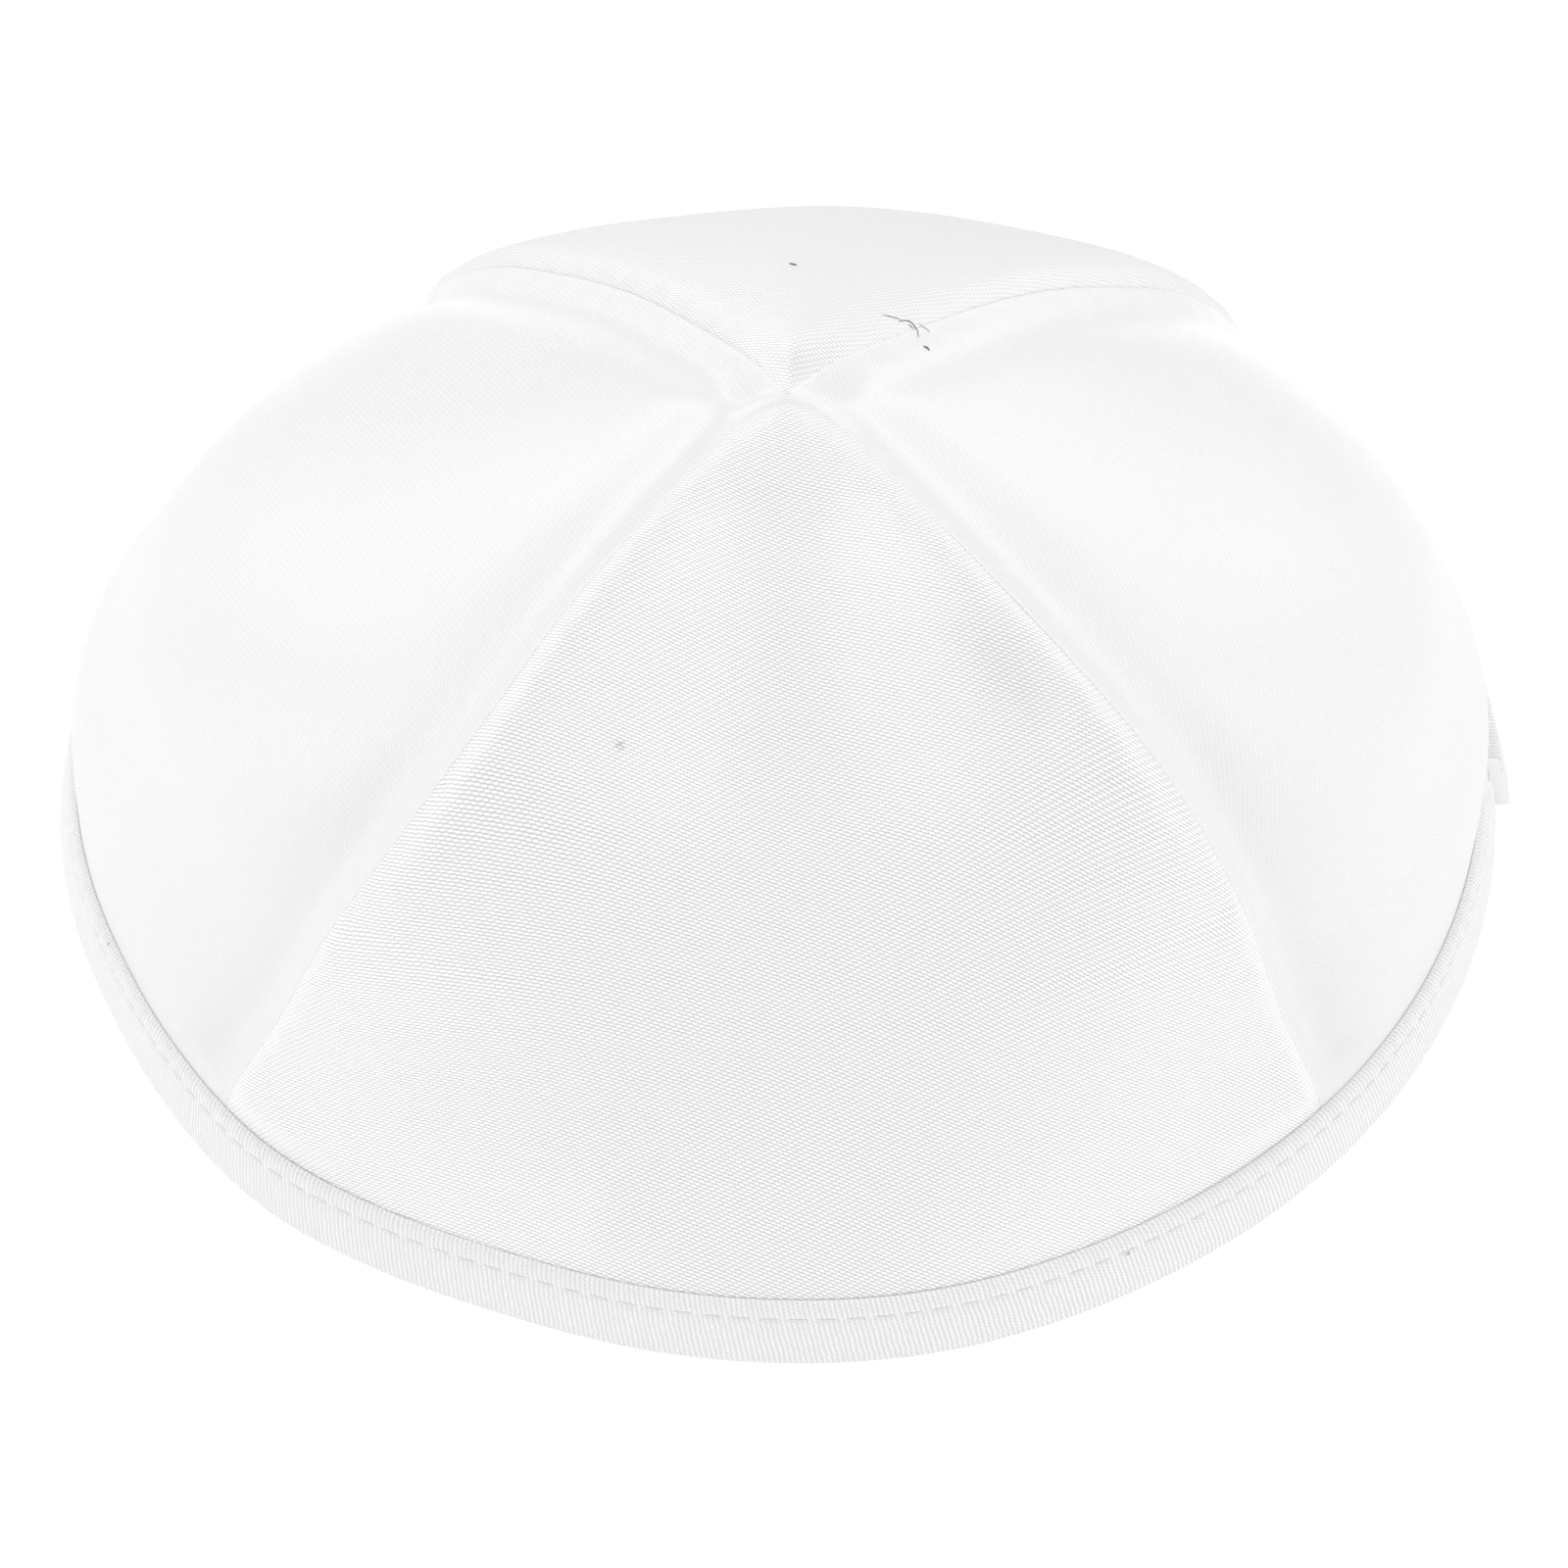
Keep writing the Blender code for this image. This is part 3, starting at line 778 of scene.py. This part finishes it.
def stitch_points(middle, side):
    """A stitch's thread: it dips into the tape at both ends. side is 1 outside and -1 inside."""
    points = []
    for share, _ in THREAD_POINTS:
        azimuth = middle + share * STITCH_REACH * STITCH_PITCH / RIM_RADIUS
        lift, raised = (float(value[0]) for value in tape_lift(np.array([azimuth])))
        bend = rim_bend(np.array([azimuth]))[0]
        face = lift if side > 0 else -TAPE - SLOT - lift - TAPE
        dip = THREAD_NIP - THREAD * 0.7 + STITCH_DIVE * float(ease(abs(share), 0.3, 0.5))
        radius, height = on_lean(TAPE_WIDTH - STITCH_DROP, face - side * dip, bend)
        points.append((radius * sin(azimuth), -radius * cos(azimuth), height))
    return points


def make_stitches(thread):
    """The rows of stitches along the tape, outside and inside."""
    end = radians(FREE_END)
    count = round((2 * pi) * RIM_RADIUS / STITCH_PITCH)
    radii = [THREAD * value for _, value in THREAD_POINTS]
    rows = []
    for name, side in (("tape_stitches_outside", 1), ("tape_stitches_inside", -1)):
        tubes = []
        for number in range(count):
            along = (np.ceil(end * RIM_RADIUS / STITCH_PITCH) + number) * STITCH_PITCH
            tubes.append(tube(stitch_points(along / RIM_RADIUS, side), radii))
        stitches = joined(name, tubes, thread)
        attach(stitches, "root")
        rows.append(stitches)
    return rows


# Loose dark fibres caught on the cap: thickness, and points by azimuth and radius
Fibre = namedtuple("Fibre", "name thickness points")
FIBRES = (
    Fibre("fibre_tail", 0.000035, ((130.7, 0.0147), (128.4, 0.0153), (127.3, 0.0157), (125.9, 0.0162))),
    Fibre("fibre_arch", 0.00004, ((125.1, 0.0158), (125.3, 0.0162), (124.1, 0.0170), (122.8, 0.0172),
                                  (120.3, 0.0173), (117.4, 0.0170))),
    Fibre("fibre_short", 0.000035, ((123.1, 0.0167), (122.2, 0.0168), (121.5, 0.0170))),
    Fibre("fibre_faint", 0.000025, ((122.4, 0.0179), (120.2, 0.0183), (118.3, 0.0186))),
    Fibre("fibre_bit", 0.00007, ((113.9, 0.0171), (113.0, 0.0174), (111.8, 0.0176))),
    Fibre("fibre_dash", 0.00007, ((178.1, 0.0219), (176.9, 0.0216), (175.7, 0.0213))),
)


def make_fibre(fibre, tree, material):
    """A dark fibre that lies on the cloth, thin at its ends."""
    places = np.array(fibre.points)
    knots = np.arange(len(places))
    at = np.linspace(0, len(places) - 1, 6 * (len(places) - 1) + 1)
    points, radii = [], []
    azimuths, radii_at = (smooth(knots, column, at) for column in places.T)
    for share, azimuth, radius in zip(at / at[-1], azimuths, radii_at):
        place, normal = surface_point(tree, azimuth, radius)
        points.append(place + normal * fibre.thickness * 1.1)
        radii.append(fibre.thickness * (0.35 + 0.65 * sin(pi * share) ** 0.6))
    piece = joined(fibre.name, [tube(points, radii)], material)
    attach(piece, "root")


facing = facing_material()
cloth_vertices, cloth_faces = [], []
for panel_name, panel in PANELS.items():
    satin = make_panel(panel_name, panel, facing)
    base = len(cloth_vertices)
    cloth_vertices += [vertex.co.copy() for vertex in satin.vertices]
    cloth_faces += [tuple(base + corner for corner in face.vertices) for face in satin.polygons]
cloth_tree = BVHTree.FromPolygons(cloth_vertices, cloth_faces)
fibre_material = plain_material("fibre", FIBRE_DARK, 0.6)
for fibre in FIBRES:
    make_fibre(fibre, cloth_tree, fibre_material)
# the stitches' thread is painted grey for the shade it lies in
make_tape(make_stitches(plain_material("thread", THREAD_SHADED_GREY, 0.7)))

# The stage
FLOOR_HALF = 3.0
FLOOR_GREY = (0.92, 0.92, 0.92, 1.0)
FLOOR_GLOW = 0.30
WHITE = (1.0, 1.0, 1.0, 1.0)
WORLD_LIGHT = 0.475

floor_mesh = bpy.data.meshes.new("floor")
floor_corners = [(FLOOR_HALF * x, FLOOR_HALF * y, 0.0) for x, y in ((-1, -1), (1, -1), (1, 1), (-1, 1))]
floor_mesh.from_pydata(floor_corners, [], [(0, 1, 2, 3)])
floor = bpy.data.objects.new("floor", floor_mesh)
bpy.context.scene.collection.objects.link(floor)
floor_nodes = Nodes("floor", FLOOR_GREY, 0.9)
floor_nodes.shader.inputs["Emission Color"].default_value = WHITE
floor_nodes.shader.inputs["Emission Strength"].default_value = FLOOR_GLOW
floor_mesh.materials.append(floor_nodes.material)

CAMERA_AT = (0.0072, -0.2657, 0.2840)
CAMERA_AIM = (0.0007, -0.0046, 0.0)
CAMERA_ROLL = -0.1  # degrees
LENS = 74.08

camera_data = bpy.data.cameras.new("camera")
camera_data.lens = LENS
camera_data.sensor_width = 36.0
camera = bpy.data.objects.new("camera", camera_data)
bpy.context.scene.collection.objects.link(camera)
camera.location = CAMERA_AT
aim = Vector(CAMERA_AIM) - Vector(CAMERA_AT)
camera.rotation_euler = aim.to_track_quat("-Z", "Y").to_euler()
camera.rotation_euler.rotate_axis("Z", radians(CAMERA_ROLL))
bpy.context.scene.camera = camera

# Lamps: azimuth and elevation in degrees seen from the cap, and power
LAMP_DISTANCE = 1.3
LAMP_WIDTH = 0.8
Lamp = namedtuple("Lamp", "name azimuth elevation power")
LAMPS = (
    Lamp("front_softbox", 0.0, 25.0, 0.4),
    Lamp("front_left_softbox", -45.0, 25.0, 1.9),
    Lamp("front_right_softbox", 45.0, 25.0, 2.1),
    Lamp("left_softbox", -90.0, 25.0, 1.7),
    Lamp("right_softbox", 90.0, 25.0, 1.7),
    Lamp("left_high_softbox", -80.0, 50.0, 2.7),
    Lamp("right_high_softbox", 80.0, 50.0, 2.4),
    Lamp("back_left_softbox", -135.0, 40.0, 3.0),
    Lamp("back_right_softbox", 135.0, 40.0, 2.7),
    Lamp("back_softbox", 180.0, 50.0, 1.3),
)
for lamp in LAMPS:
    data = bpy.data.lights.new(lamp.name, "AREA")
    data.size = LAMP_WIDTH
    data.energy = lamp.power
    light = bpy.data.objects.new(lamp.name, data)
    bpy.context.scene.collection.objects.link(light)
    turn, rise = radians(lamp.azimuth), radians(lamp.elevation)
    light.location = Vector((sin(turn) * cos(rise), -cos(turn) * cos(rise), sin(rise))) * LAMP_DISTANCE
    light.rotation_euler = (-light.location).to_track_quat("-Z", "Y").to_euler()

world = bpy.data.worlds.new("studio")
world.use_nodes = True
world.node_tree.nodes["Background"].inputs["Color"].default_value = WHITE
world.node_tree.nodes["Background"].inputs["Strength"].default_value = WORLD_LIGHT
bpy.context.scene.world = world
bpy.context.scene.view_settings.view_transform = "Standard"
